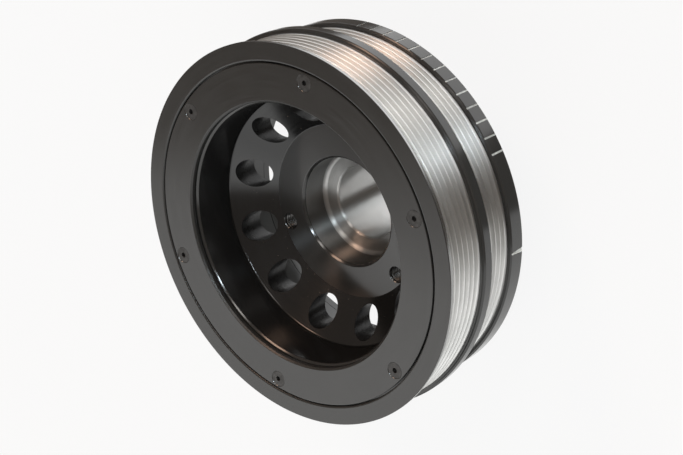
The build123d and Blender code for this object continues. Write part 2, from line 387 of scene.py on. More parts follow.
def wind_thread(name, corners, pitch, turns, steps):
    """Winds a closed section into a helical ridge about Z and closes its two ends."""
    piece = draw_section(name, corners)
    bpy.ops.object.mode_set(mode="OBJECT")
    apply_modifier(
        piece, "SCREW", axis="Z", screw_offset=pitch, iterations=turns, steps=steps, render_steps=steps
    )
    bpy.ops.object.mode_set(mode="EDIT")
    weld()
    bpy.ops.mesh.fill_holes(sides=0)
    bpy.ops.mesh.select_all(action="SELECT")
    bpy.ops.mesh.normals_make_consistent(inside=False)
    bpy.ops.object.mode_set(mode="OBJECT")
    return piece


def join(name, pieces):
    """Joins several objects into one, placed at the origin."""
    deselect()
    for piece in pieces:
        piece.select_set(True)
    bpy.context.view_layer.objects.active = pieces[0]
    if len(pieces) > 1:
        bpy.ops.object.join()
    bpy.ops.object.transform_apply()
    joined = bpy.context.object
    joined.name = name
    return joined


def on_circle(radius, turned, height=0.0):
    """A place on a circle about Z."""
    return Vector((radius * math.cos(turned), radius * math.sin(turned), height))


def round_circle(radius, start, count):
    """Places spread evenly on a circle about Z."""
    return [on_circle(radius, start + number * math.tau / count) for number in range(count)]


def drill(radius, top, bottom, place, steps=HOLE_STEPS):
    """A cylinder the size of a drilled hole."""
    deselect()
    middle = Vector((place.x, place.y, (top + bottom) / 2))
    bpy.ops.mesh.primitive_cylinder_add(vertices=steps, radius=radius, depth=top - bottom, location=middle)
    return bpy.context.object


def countersink(radius, face, place):
    """A cone of 90 degrees that is this wide at a face, and goes on above it."""
    deselect()
    depth = radius + PAST
    middle = Vector((place.x, place.y, face + PAST - depth / 2))
    bpy.ops.mesh.primitive_cone_add(
        vertices=HOLE_STEPS, radius1=0.0, radius2=depth, depth=depth, location=middle
    )
    return bpy.context.object


def cut(piece, cutters):
    """Takes the cutters out of a piece, and deletes them."""
    cutter = join("cutter", cutters)
    select_only(piece)
    apply_modifier(piece, "BOOLEAN", operation="DIFFERENCE", solver="EXACT", object=cutter)
    bpy.data.objects.remove(cutter)


def smooth(piece):
    """Shades a piece smooth between its sharp edges, with its level faces kept flat."""
    select_only(piece)
    bpy.ops.object.shade_smooth_by_angle(angle=SMOOTH_ANGLE)
    for face in piece.data.polygons:
        if abs(face.normal.z) > LEVEL_FACING:
            face.use_smooth = False
    apply_modifier(piece, "WEIGHTED_NORMAL", keep_sharp=True)


def finish_faces(piece, materials, choose):
    """Gives each face the material whose number choose() returns for its place and normal."""
    for material in materials:
        piece.data.materials.append(material)
    for face in piece.data.polygons:
        face.material_index = choose(face.center, face.normal)


def settle(piece, slot, *nodes):
    """Puts a finished piece on the balancer in place of its CAD nodes."""
    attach(piece, "root")
    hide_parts(*nodes)


def new_group(name, defaults, results):
    """An empty shader node group, the values that it is given and the results that it puts out."""
    group = bpy.data.node_groups.new(name, "ShaderNodeTree")
    for socket_name, default in defaults.items():
        socket = group.interface.new_socket(socket_name, in_out="INPUT", socket_type="NodeSocketFloat")
        socket.default_value = default
    for socket_name in results:
        group.interface.new_socket(socket_name, in_out="OUTPUT", socket_type="NodeSocketFloat")
    return group, group.nodes.new("NodeGroupInput").outputs, group.nodes.new("NodeGroupOutput").inputs


def fill(tree, sockets, values):
    """Links or sets the inputs of a node, in their order."""
    for socket, value in zip(sockets, values):
        if isinstance(value, bpy.types.NodeSocket):
            tree.links.new(value, socket)
        else:
            socket.default_value = value


def math_node(tree, operation, *values):
    """A Math node with its inputs linked or set."""
    node = tree.nodes.new("ShaderNodeMath")
    node.operation = operation
    fill(tree, node.inputs, values)
    return node.outputs[0]


def split(tree, vector):
    """The X, Y and Z of a vector."""
    node = tree.nodes.new("ShaderNodeSeparateXYZ")
    tree.links.new(vector, node.inputs[0])
    return node.outputs[0], node.outputs[1], node.outputs[2]


def object_place(tree):
    """The place of a point on its object."""
    return tree.nodes.new("ShaderNodeTexCoord").outputs["Object"]


def noise_node(tree, vector, scale, detail):
    """A noise pattern, its scale and detail linked or set."""
    node = tree.nodes.new("ShaderNodeTexNoise")
    tree.links.new(vector, node.inputs["Vector"])
    fill(tree, (node.inputs["Scale"], node.inputs["Detail"]), (scale, detail))
    return node.outputs["Fac"]


def turning_group():
    """Marks of the lathe: fine rings round Z that break up along their length, on a face, wall or cone."""
    defaults = {"Rings": 900.0, "Breaks": 3.0, "Detail": 3.0}
    group, given, results = new_group("Turning marks", defaults, ["Marks"])
    x, y, z = split(group, object_place(group))
    squares = math_node(
        group, "ADD", math_node(group, "MULTIPLY", x, x), math_node(group, "MULTIPLY", y, y)
    )
    radius = math_node(group, "SQRT", squares)
    # Radius and height together change all along a section, on a face, on a wall and on both cones
    walk = math_node(group, "ADD", radius, math_node(group, "MULTIPLY", z, 1.37))
    together = group.nodes.new("ShaderNodeCombineXYZ")
    values = (
        math_node(group, "MULTIPLY", math_node(group, "DIVIDE", x, radius), given["Breaks"]),
        math_node(group, "MULTIPLY", math_node(group, "DIVIDE", y, radius), given["Breaks"]),
        math_node(group, "MULTIPLY", walk, given["Rings"]),
    )
    fill(group, together.inputs, values)
    marks = noise_node(group, together.outputs[0], 1.0, given["Detail"])
    group.links.new(marks, results["Marks"])
    return group


def grain_group():
    """Fine grain and larger clouds, as paint, oxide and rubber have."""
    defaults = {"Grain Scale": 2500.0, "Cloud Scale": 40.0}
    group, given, results = new_group("Grain", defaults, ["Grain", "Clouds"])
    place = object_place(group)
    for result, scale, detail in (("Grain", "Grain Scale", 2.0), ("Clouds", "Cloud Scale", 4.0)):
        group.links.new(noise_node(group, place, given[scale], detail), results[result])
    return group


def dust_group():
    """Small bright specks of dust, few and scattered."""
    defaults = {"Scale": 900.0, "Amount": 0.1, "Top": 0.06}
    group, given, results = new_group("Dust", defaults, ["Specks"])
    place = object_place(group)
    cells = group.nodes.new("ShaderNodeTexVoronoi")
    group.links.new(place, cells.inputs["Vector"])
    group.links.new(given["Scale"], cells.inputs["Scale"])
    chosen = group.nodes.new("ShaderNodeSeparateColor")
    group.links.new(cells.outputs["Color"], chosen.inputs[0])
    size = math_node(group, "MULTIPLY", chosen.outputs[1], 0.3)
    near = math_node(group, "LESS_THAN", cells.outputs["Distance"], size)
    few = math_node(group, "LESS_THAN", chosen.outputs[0], given["Amount"])
    low = math_node(group, "LESS_THAN", split(group, place)[2], given["Top"])
    specks = math_node(group, "MULTIPLY", math_node(group, "MULTIPLY", near, few), low)
    group.links.new(specks, results["Specks"])
    return group


def new_material(name, metallic, specular=0.5):
    """A material with a plain Principled BSDF."""
    material = bpy.data.materials.new(name)
    material.use_nodes = True
    shader = material.node_tree.nodes["Principled BSDF"]
    shader.inputs["Metallic"].default_value = metallic
    shader.inputs["Specular IOR Level"].default_value = specular
    return material, material.node_tree, shader


def use_group(tree, name, build, *values):
    """Places a node group, built the first time that it is asked for, with its inputs set in order."""
    node = tree.nodes.new("ShaderNodeGroup")
    node.node_tree = bpy.data.node_groups.get(name) or build()
    fill(tree, node.inputs, values)
    return node.outputs


def use_marks(tree, rings, breaks, detail):
    """Marks of the lathe: rings in a metre, breaks along a turn and their detail."""
    return use_group(tree, "Turning marks", turning_group, rings, breaks, detail)["Marks"]


def use_grain(tree, grain_scale, cloud_scale):
    """Fine grain and larger clouds."""
    outputs = use_group(tree, "Grain", grain_group, grain_scale, cloud_scale)
    return outputs["Grain"], outputs["Clouds"]


def ramp(tree, value, low, high, start=0.0, end=1.0):
    """Maps a value linearly, from low to high, onto start to end."""
    node = tree.nodes.new("ShaderNodeMapRange")
    fill(tree, node.inputs, (value, low, high, start, end))
    return node.outputs[0]


def spread(tree, value, start, end):
    """Maps a 0 to 1 pattern, which mostly stays near 0.5, to a range."""
    return ramp(tree, value, 0.3, 0.7, start, end)


def mix_base(tree, shader, mask, first, second):
    """Mixes the base colour from two colours by a mask."""
    node = tree.nodes.new("ShaderNodeMix")
    node.data_type = "RGBA"
    node.inputs["A"].default_value = (*first, 1.0)
    node.inputs["B"].default_value = (*second, 1.0)
    tree.links.new(mask, node.inputs["Factor"])
    tree.links.new(node.outputs["Result"], shader.inputs["Base Color"])


def roughen(tree, shader, pattern, low, high):
    """Lets the roughness follow a pattern."""
    tree.links.new(spread(tree, pattern, low, high), shader.inputs["Roughness"])


def raise_bumps(tree, shader, height, distance, strength):
    """Turns a pattern into bumps of a real height."""
    bump = tree.nodes.new("ShaderNodeBump")
    bump.inputs["Distance"].default_value = distance
    bump.inputs["Strength"].default_value = strength
    tree.links.new(height, bump.inputs["Height"])
    tree.links.new(bump.outputs["Normal"], shader.inputs["Normal"])


def lay_across(tree, shader, anisotropic):
    """Stretches the highlights across the marks that the lathe left round Z."""
    shader.inputs["Anisotropic"].default_value = anisotropic
    shader.inputs["Anisotropic Rotation"].default_value = 0.25
    tangent = tree.nodes.new("ShaderNodeTangent")
    tangent.direction_type = "RADIAL"
    tangent.axis = "Z"
    tree.links.new(tangent.outputs[0], shader.inputs["Tangent"])


def tinted(base, factor):
    """A colour made lighter or darker."""
    return tuple(min(1.0, channel * factor) for channel in base)


def shared_material(name, build, finish):
    """A material by its name, built the first time that it is asked for."""
    return bpy.data.materials.get(name) or build(finish)


def satin_black_material(finish):
    """Satin black over turned steel: soft rings of the lathe under a fine grain."""
    material, tree, shader = new_material("satin_black", 0.0)
    marks = use_marks(tree, 1500.0, 4.0, 3.0)
    grain, clouds = use_grain(tree, 3000.0, 60.0)
    mix_base(tree, shader, clouds, tinted(finish.satin_black, 0.85), tinted(finish.satin_black, 1.15))
    roughen(tree, shader, marks, finish.satin_roughness - 0.04, finish.satin_roughness + 0.05)
    soft_marks = math_node(tree, "MULTIPLY", marks, 0.3)
    height = math_node(tree, "ADD", soft_marks, math_node(tree, "MULTIPLY", grain, 1.4))
    raise_bumps(tree, shader, height, 0.01 * MM, 0.3)
    return material


def dull_black_material(finish):
    """Black on the edges on both sides of the plate, duller than on the face."""
    material, tree, shader = new_material("dull_black", 0.0, 0.4)
    clouds = use_grain(tree, 3000.0, 60.0)[1]
    mix_base(tree, shader, clouds, tinted(finish.satin_black, 0.9), tinted(finish.satin_black, 1.2))
    shader.inputs["Roughness"].default_value = 0.36
    return material


def turned_black_material(finish):
    """Satin black on the dish's floor, where strong marks of the lathe show through the gloss."""
    material, tree, shader = new_material("turned_black", 0.0, 0.6)
    marks = use_marks(tree, 900.0, 2.5, 4.0)
    faint = spread(tree, marks, 0.0, 1.0)
    mix_base(tree, shader, faint, tinted(finish.satin_black, 0.3), tinted(finish.satin_black, 0.6))
    roughen(tree, shader, marks, 0.42, 0.54)
    lay_across(tree, shader, 1.0)
    shader.inputs["Coat Weight"].default_value = 0.9
    shader.inputs["Coat Roughness"].default_value = finish.satin_roughness
    return material


def gloss_black_material(finish):
    """Gloss black of the dish: faint rings, a few specks of dust."""
    material, tree, shader = new_material("gloss_black", 0.0)
    marks = use_marks(tree, 700.0, 3.0, 2.0)
    specks = use_group(tree, "Dust", dust_group, 1500.0, 0.03)["Specks"]
    mix_base(tree, shader, specks, finish.gloss_black, finish.dust)
    roughen(tree, shader, marks, finish.gloss_roughness - 0.03, finish.gloss_roughness + 0.04)
    raise_bumps(tree, shader, marks, 0.01 * MM, 0.2)
    return material


def wall_black_material(finish):
    """Deep satin black on the wall of the dish."""
    material, tree, shader = new_material("wall_black", 0.0)
    marks = use_marks(tree, 1500.0, 3.0, 3.0)
    shader.inputs["Base Color"].default_value = (*finish.wall_black, 1.0)
    roughen(tree, shader, marks, finish.satin_roughness - 0.02, finish.satin_roughness + 0.08)
    raise_bumps(tree, shader, marks, 0.01 * MM, 0.2)
    return material


def drilled_material(finish):
    """Black over the rough walls of the drilled holes, with rings of the drill across their length."""
    material, tree, shader = new_material("drilled_black", 0.0, 0.3)
    flatten = tree.nodes.new("ShaderNodeMapping")
    flatten.inputs["Scale"].default_value = (450.0, 450.0, 1500.0)
    tree.links.new(object_place(tree), flatten.inputs["Vector"])
    rings = noise_node(tree, flatten.outputs[0], 1.0, 4.0)
    shader.inputs["Base Color"].default_value = (*finish.gloss_black, 1.0)
    roughen(tree, shader, rings, finish.satin_roughness + 0.1, finish.satin_roughness + 0.3)
    raise_bumps(tree, shader, rings, 0.06 * MM, 0.8)
    return material


def steel_material(finish, name, factor, rings, anisotropic, rougher=0.0):
    """Bare turned steel, drawn out round the axis."""
    material, tree, shader = new_material(name, 1.0)
    marks = use_marks(tree, rings, 5.0, 4.0)
    clouds = use_grain(tree, 1500.0, 45.0)[1]
    base = tinted(finish.steel, factor)
    mix_base(tree, shader, clouds, tinted(base, 0.86), tinted(base, 1.12))
    rough = finish.steel_roughness + rougher
    roughen(tree, shader, marks, rough - 0.06, rough + 0.08)
    lay_across(tree, shader, anisotropic)
    raise_bumps(tree, shader, marks, 0.02 * MM, 0.3)
    return material


def line_paint_material(finish, name, factor):
    """Pale paint worn thin in places."""
    material, tree, shader = new_material(name, 0.0)
    grain, clouds = use_grain(tree, 2200.0, 350.0)
    base = tinted(finish.line_paint, factor)
    worn = spread(tree, clouds, 0.0, 1.0)
    mix_base(tree, shader, worn, tinted(base, 0.7), tinted(base, 1.1))
    shader.inputs["Roughness"].default_value = 0.5
    raise_bumps(tree, shader, grain, 0.02 * MM, 0.4)
    return material


def screw_material(finish):
    """Black oxide with lighter worn patches."""
    material, tree, shader = new_material("screw_oxide", 0.6)
    grain, clouds = use_grain(tree, 1800.0, 500.0)
    worn = spread(tree, clouds, 0.0, 1.0)
    mix_base(tree, shader, worn, finish.screw_black, tinted(finish.screw_black, 2.0))
    roughen(tree, shader, grain, 0.33, 0.45)
    raise_bumps(tree, shader, grain, 0.02 * MM, 0.3)
    return material


def rubber_material(finish):
    """Moulded black rubber."""
    material, tree, shader = new_material("damper_rubber", 0.0, 0.35)
    grain, clouds = use_grain(tree, 1600.0, 80.0)
    mix_base(tree, shader, clouds, tinted(finish.rubber, 0.8), tinted(finish.rubber, 1.3))
    roughen(tree, shader, grain, 0.6, 0.75)
    raise_bumps(tree, shader, grain, 0.04 * MM, 0.4)
    return material


def groove_corners(sizes, top, front, count):
    """Corners of a row of belt grooves in a pulley of radius top, from its front edge to the rear."""
    run = sizes.groove_depth * math.tan(sizes.groove_angle / 2)
    root = top - sizes.groove_depth
    corners = []
    for number in range(count):
        mouth = front - number * sizes.groove_pitch
        corners += [
            (top, mouth, sizes.crest_round),
            (root, mouth - run, sizes.root_round),
            (root, mouth - sizes.groove_mouth + run, sizes.root_round),
            (top, mouth - sizes.groove_mouth, sizes.crest_round),
        ]
    return corners


def ring_heights(sizes):
    """Heights of the first groove, the land's two sides, the rear pulley's first groove and the band."""
    flank = sizes.main_crest_drop * math.tan(sizes.groove_angle / 2)
    main = RING_HIGH.z - sizes.flange_width - flank
    main_rear = main - sizes.groove_mouth - (sizes.main_grooves - 1) * sizes.groove_pitch
    land_front = main_rear - sizes.land_shoulder
    land_rear = land_front - sizes.land_width
    second = land_rear - sizes.second_front_shoulder
    return main, land_front, land_rear, second, RING_LOW.z + sizes.timing_width


def ring_section(sizes):
    """Corners of the inertia ring's section, from the front face round the outside to the rear and back."""
    main, land_front, land_rear, second, band_front = ring_heights(sizes)
    flange = sizes.flange_radius
    crest = flange - sizes.main_crest_drop
    second_crest = flange - sizes.second_crest_drop
    band = flange - sizes.timing_drop
    recess = flange - sizes.face_width
    bore = recess - sizes.wall
    front = RING_HIGH.z
    rear = RING_LOW.z
    floor = PLATE_LOW.z
    lip_front = rear + sizes.lip_thickness
    edge = sizes.edge_break
    chamfer = sizes.band_chamfer
    fine = sizes.fine_edge
    return [
        (flange, front, edge),
        (flange, front - sizes.flange_width, sizes.crest_round),
        *groove_corners(sizes, crest, main, sizes.main_grooves)[1:],
        (crest, land_front, sizes.land_round),
        (flange - chamfer, land_front, fine),
        (flange, land_front - chamfer, fine),
        (flange, land_rear + chamfer, fine),
        (flange - chamfer, land_rear, fine),
        (second_crest, land_rear, edge),
        *groove_corners(sizes, second_crest, second, sizes.second_grooves),
        (second_crest, band_front, edge),
        (band - chamfer, band_front, fine),
        (band, band_front - chamfer, fine),
        (band, rear + chamfer, fine),
        (band - chamfer, rear, fine),
        (sizes.lip_radius, rear, sizes.lip_chamfer),
        (sizes.lip_radius, lip_front, 0),
        (bore, lip_front, 0),
        (bore, floor, 0),
        (recess, floor, 0),
        (recess, front, sizes.recess_round),
    ]


def timing_line_cutters(sizes, timing, band):
    """Blades that engrave the timing lines."""
    cutters = []
    height = RING_LOW.z + sizes.timing_width / 2
    for number in range(timing.line_count):
        turned = timing.line_start + number * timing.line_step
        deselect()
        bpy.ops.mesh.primitive_cube_add(
            size=1.0,
            location=on_circle(band, turned, height),
            rotation=(0, 0, turned),
            scale=(2 * timing.line_depth, timing.line_width, sizes.timing_width - 2 * timing.line_margin),
        )
        cutters.append(bpy.context.object)
    return cutters


def notch_cutter(sizes, timing, band):
    """A V-shaped blade for the timing notch, which grows wider and deeper towards the rear."""
    front = RING_LOW.z + sizes.timing_width - timing.line_margin
    rear = RING_LOW.z - timing.line_margin
    deselect()
    bpy.ops.mesh.primitive_cube_add(
        size=1.0,
        location=(band, 0, (front + rear) / 2),
        scale=(2 * timing.notch_depth, 2 * timing.notch_width, front - rear),
    )
    blade = bpy.context.object
    bpy.ops.object.transform_apply()
    bpy.ops.object.mode_set(mode="EDIT")
    select_corners(blade, lambda co: co.x < band)
    bpy.ops.transform.resize(value=(1, 0, 1), center_override=(band, 0, 0))
    select_corners(blade, lambda co: co.z > front - WELD)
    size = timing.notch_taper
    bpy.ops.transform.resize(value=(size, size, 1), center_override=(band, 0, front))
    weld()
    bpy.ops.object.mode_set(mode="OBJECT")
    return blade


def screw_places():
    """Where the CAD has its cover screws: the middle of each head, at its top."""
    places = []
    for number in range(SCREW_COUNT):
        low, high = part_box(f"cover_screw_{number + 1}")
        middle = (low + high) / 2
        places.append(Vector((middle.x, middle.y, high.z)))
    return places


def tapped_hole_cutters(plate):
    """Drills for the cover screws' tapped holes, with their pointed ends."""
    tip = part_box("cover_screw_1")[0].z
    bottom = tip - plate.tapped_hole_reserve
    radius = plate.tapped_hole_radius
    point = radius / SQUARE_ROOT_3
    cutters = []
    for place in screw_places():
        cutter = drill(radius, PLATE_HIGH.z, bottom, place, SCREW_STEPS)
        bpy.ops.object.transform_apply()
        bpy.ops.object.mode_set(mode="EDIT")
        select_corners(cutter, lambda co: co.z < bottom + WELD)
        bpy.ops.mesh.extrude_region_move(TRANSFORM_OT_translate={"value": (0, 0, -point)})
        bpy.ops.mesh.merge(type="CENTER")
        bpy.ops.object.mode_set(mode="OBJECT")
        cutters.append(cutter)
    return cutters


class BALANCER_OT_inertia_ring(bpy.types.Operator):
    """Turn the inertia ring, engrave its timing lines and cut its notch"""

    bl_idname = "balancer.inertia_ring"
    bl_label = "Inertia Ring"

    def execute(self, context):
        sizes = context.scene.balancer_ring
        timing = context.scene.balancer_timing
        finish = context.scene.balancer_finish
        band = sizes.flange_radius - sizes.timing_drop
        ring = turn("turned_ring", ring_section(sizes))
        cut(ring, tapped_hole_cutters(context.scene.balancer_plate))
        cut(ring, timing_line_cutters(sizes, timing, band))
        cut(ring, [notch_cutter(sizes, timing, band)])
        _, land_front, land_rear, _, band_front = ring_heights(sizes)
        paint_radius = band - PAINT_DEPTH * timing.line_depth
        black, groove, thin_line, line, flange_edge, dull = range(6)
        second_crest = sizes.flange_radius - sizes.second_crest_drop

        def choose(centre, normal):
            radius = math.hypot(centre.x, centre.y)
            mouth = sizes.flange_radius - sizes.face_width
            if radius < mouth:
                return black
            if radius < mouth + sizes.recess_round and normal.z < WALL_FACING and centre.z > PLATE_LOW.z:
                return dull
            margin = timing.line_margin / 2
            in_band = RING_LOW.z + margin < centre.z < band_front - margin
            on_chamfer = UPRIGHT_FACING < abs(normal.z) < WALL_FACING
            if in_band and not on_chamfer and band - 1.2 * timing.notch_depth < radius < paint_radius:
                number = round((math.atan2(centre.y, centre.x) - timing.line_start) / timing.line_step)
                return thin_line if number % 2 else line
            # The pulleys and the flange's edge are bare: the shoulders' walls and the land are not
            foot = land_front + sizes.land_round
            in_main = foot - WELD < centre.z < RING_HIGH.z - sizes.edge_break
            in_second = band_front - WELD < centre.z < land_rear + WELD
            on_wall = abs(normal.z) > WALL_FACING
            below_band = in_main or radius < second_crest + WELD
            if (in_main or in_second) and below_band and not on_wall:
                return flange_edge if centre.z > RING_HIGH.z - sizes.flange_width else groove
            return black

        finish_faces(
            ring,
            [
                satin_black_material(finish),
                steel_material(finish, "groove_steel", 1.05, 1800.0, 0.85, 0.03),
                line_paint_material(finish, "line_paint_thin", 0.8),
                line_paint_material(finish, "line_paint", 1.0),
                steel_material(finish, "edge_steel", 0.5, 1800.0, 0.5, -0.08),
                dull_black_material(finish),
            ],
            choose,
        )
        smooth(ring)
        settle(ring, "turned_ring", "inertia_ring")
        return {"FINISHED"}


def web_rear(sizes, radius):
    """Height of the web's rear face at a radius."""
    middle = RING_HIGH.z - sizes.dish_depth + sizes.cone_rise / 2 - sizes.web_thickness
    return middle + sizes.web_rear_slope * (radius - sizes.hole_circle)


def hub_section(sizes):
    """Corners of the hub's section, from the rim's front down its outside, round the rear and up the dish."""
    floor = RING_HIGH.z - sizes.dish_depth
    seat = floor - sizes.counterbore_depth
    boss_rear = RING_LOW.z - sizes.boss_reach
    edge = sizes.edge_break
    return [
        (sizes.rim_radius, HUB_HIGH.z, edge),
        (sizes.rim_radius, sizes.rim_rear, edge),
        (sizes.rear_rim_radius, sizes.rim_rear, edge),
        (sizes.rear_rim_radius, web_rear(sizes, sizes.rear_rim_radius), sizes.rear_rim_round),
        (sizes.boss_radius, web_rear(sizes, sizes.boss_radius), sizes.rear_boss_round),
        (sizes.boss_radius, boss_rear, edge),
        (sizes.sleeve_radius, boss_rear, sizes.sleeve_round),
        (sizes.sleeve_radius, sizes.sleeve_lead_length, edge),
        (sizes.sleeve_radius - sizes.sleeve_lead_drop, HUB_LOW.z, 0),
        (sizes.bore_radius + sizes.bore_rear_chamfer, HUB_LOW.z, 0),
        (sizes.bore_radius, HUB_LOW.z + sizes.bore_rear_chamfer, 0),
        (sizes.bore_radius, seat - sizes.bore_front_chamfer, edge),
        (sizes.bore_radius + sizes.bore_front_chamfer, seat, edge),
        (sizes.counterbore_radius, seat, sizes.counterbore_round),
        (sizes.counterbore_radius, floor - sizes.counterbore_chamfer, edge),
        (sizes.counterbore_radius + sizes.counterbore_chamfer, floor, edge),
        (sizes.floor_radius, floor, edge),
        (sizes.dish_radius, floor + sizes.cone_rise, sizes.dish_round),
        (sizes.dish_radius, HUB_HIGH.z - sizes.rim_chamfer, edge),
        (sizes.dish_radius + sizes.rim_chamfer, HUB_HIGH.z, edge),
    ]


def puller_thread(sizes, place, floor):
    """The thread of one puller hole: a ridge from its large radius in to its crest."""
    half = sizes.puller_pitch / 2
    flank = (sizes.puller_radius - sizes.puller_crest) / SQUARE_ROOT_3
    root = sizes.puller_radius + THREAD_ROOT_DEPTH
    low = floor - (PULLER_TURNS + PULLER_START) * sizes.puller_pitch
    wide = 0.45 * half + flank
    narrow = 0.3 * half
    corners = [
        (root, low - wide, 0),
        (root, low + wide, 0),
        (sizes.puller_crest, low + narrow, 0),
        (sizes.puller_crest, low - narrow, 0),
    ]
    ridge = wind_thread("puller_thread", corners, sizes.puller_pitch, PULLER_TURNS, SCREW_STEPS)
    ridge.location = (place.x, place.y, 0)
    return ridge


class BALANCER_OT_hub(bpy.types.Operator):
    """Turn the dished hub, drill its lightening holes and tap its puller holes"""

    bl_idname = "balancer.hub"
    bl_label = "Hub"

    def execute(self, context):
        sizes = context.scene.balancer_hub
        finish = context.scene.balancer_finish
        floor = RING_HIGH.z - sizes.dish_depth
        seat = floor - sizes.counterbore_depth
        hub = turn("turned_hub", hub_section(sizes))
        holes = round_circle(sizes.hole_circle, sizes.hole_angle, sizes.hole_count)
        above = floor + sizes.cone_rise
        cut(hub, [drill(sizes.hole_radius, above, sizes.rim_rear, place) for place in holes])
        places = round_circle(sizes.puller_circle, sizes.puller_angle, sizes.puller_count)
        cut(hub, [drill(sizes.puller_radius, floor + PAST, sizes.rim_rear, place) for place in places])
        cut(hub, [countersink(sizes.puller_sink, floor, place) for place in places])
        threads = [puller_thread(sizes, place, floor) for place in places]
        hub = join("turned_hub", [hub, *threads])

        dish, bore, black, thread, counterbore, drilled, seat_steel, turned, dish_wall = range(9)

        def in_hole(centre, middles, radius):
            return any((centre.xy - middle.xy).length < radius for middle in middles)

        materials = [
            gloss_black_material(finish),
            steel_material(finish, "bore_steel", 0.84, 2600.0, 0.95, 0.06),
            shared_material("satin_black", satin_black_material, finish),
            steel_material(finish, "thread_steel", 0.16, 900.0, 0.0),
            steel_material(finish, "counterbore_steel", 0.4, 1600.0, 1.0, 0.09),
            drilled_material(finish),
            steel_material(finish, "seat_steel", 0.66, 1600.0, 1.0, 0.14),
            turned_black_material(finish),
            wall_black_material(finish),
        ]
        wall = floor + sizes.cone_rise + sizes.dish_round
        # Below this height the rounding at the counterbore's foot takes the bore's steel, a little smoother
        # than the wall's and twice as bright: its sharper reflection is real, and its brighter colour is a
        # painted highlight along the foot of the wall
        corner = seat + 0.8 * sizes.counterbore_round
        sink = floor - (sizes.puller_sink - sizes.puller_radius) - NEAR

        def choose(centre, normal):
            radius = math.hypot(centre.x, centre.y)
            if radius < sizes.counterbore_radius + WELD:
                if centre.z > corner:
                    return counterbore
                # On the rounding at the foot, the bore's brighter steel is a painted highlight
                return seat_steel if abs(centre.z - seat) < SEAT_NEAR else bore
            if floor - NEAR < centre.z < floor + WELD and normal.z > WALL_FACING:
                return turned
            if in_hole(centre, places, sizes.puller_sink - NEAR):
                return thread if centre.z < sink else black
            if abs(normal.z) < UPRIGHT_FACING and in_hole(centre, holes, sizes.hole_radius + WELD):
                return drilled
            if floor - NEAR < centre.z and radius < sizes.dish_radius + WELD:
                return dish if centre.z < wall else dish_wall
            if radius < sizes.sleeve_radius + NEAR and centre.z < RING_LOW.z - sizes.boss_reach:
                return bore
            return black

        finish_faces(hub, materials, choose)
        smooth(hub)
        settle(hub, "black_hub", "hub")
        return {"FINISHED"}


class BALANCER_OT_damping_ring(bpy.types.Operator):
    """Finish the bonded rubber ring"""

    bl_idname = "balancer.damping_ring"
    bl_label = "Damping Ring"

    def execute(self, context):
        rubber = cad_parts["damping_ring"]
        rubber.data.materials.clear()
        rubber.data.materials.append(rubber_material(context.scene.balancer_finish))
        return {"FINISHED"}


class BALANCER_OT_cover_plate(bpy.types.Operator):
    """Turn the cover plate and countersink it for its screws"""

    bl_idname = "balancer.cover_plate"
    bl_label = "Cover Plate"

    def execute(self, context):
        sizes = context.scene.balancer_plate
        finish = context.scene.balancer_finish
        corners = [
            (sizes.outer_radius, PLATE_HIGH.z, sizes.chamfer),
            (sizes.outer_radius, PLATE_LOW.z, 0),
            (sizes.bore_radius, PLATE_LOW.z, 0),
            (sizes.bore_radius, PLATE_HIGH.z - sizes.bore_chamfer, sizes.fine_edge),
            (sizes.bore_radius + sizes.bore_chamfer, PLATE_HIGH.z, sizes.fine_edge),
        ]
        plate = turn("faced_plate", corners)
        places = screw_places()
        sink = PLATE_HIGH.z - places[0].z
        radius = sizes.head_radius + sink + sizes.seat_clearance
        above = PLATE_HIGH.z + PAST
        below = PLATE_LOW.z - PAST
        cut(plate, [drill(sizes.shank_hole_radius, above, below, place) for place in places])
        cut(plate, [countersink(radius, PLATE_HIGH.z, place) for place in places])
        materials = [
            shared_material("satin_black", satin_black_material, finish),
            shared_material("dull_black", dull_black_material, finish),
        ]

        def choose(centre, normal):
            radius = math.hypot(centre.x, centre.y)
            in_chamfer = radius < sizes.bore_radius + sizes.bore_chamfer and normal.z < WALL_FACING
            return 1 if in_chamfer and centre.z > PLATE_LOW.z + WELD else 0

        finish_faces(plate, materials, choose)
        smooth(plate)
        settle(plate, "black_plate", "cover_plate")
        return {"FINISHED"}


def make_screw(sizes, top, tip):
    """A countersunk screw on the Z axis, with its thread and its hexagon socket."""
    neck = top - (sizes.head_radius - sizes.thread_root)
    core = [
        (0, top, 0),
        (sizes.head_radius, top, sizes.head_edge),
        (sizes.thread_root, neck, 0),
        (sizes.thread_root, tip + sizes.tip_chamfer, 0),
        (sizes.thread_root - sizes.tip_chamfer, tip, 0),
        (0, tip, 0),
    ]
    screw = turn("screw", core, SCREW_STEPS)
    hexagon = sizes.socket_width / SQUARE_ROOT_3
    cut(screw, [drill(hexagon, top + sizes.socket_depth, top - sizes.socket_depth, Vector(), 6)])
    half = sizes.thread_pitch / 2
    inside = sizes.thread_root - THREAD_ROOT_DEPTH
    turns = int((neck - tip - sizes.tip_chamfer) / sizes.thread_pitch) - 1
    low = tip + sizes.tip_chamfer + half
    wide = 0.85 * half
    narrow = 0.12 * half
    corners = [
        (inside, low - wide, 0),
        (inside, low + wide, 0),
        (sizes.thread_radius, low + narrow, 0),
        (sizes.thread_radius, low - narrow, 0),
    ]
    ridge = wind_thread("screw_thread", corners, sizes.thread_pitch, turns, SCREW_STEPS // 2)
    return join("screw", [screw, ridge])


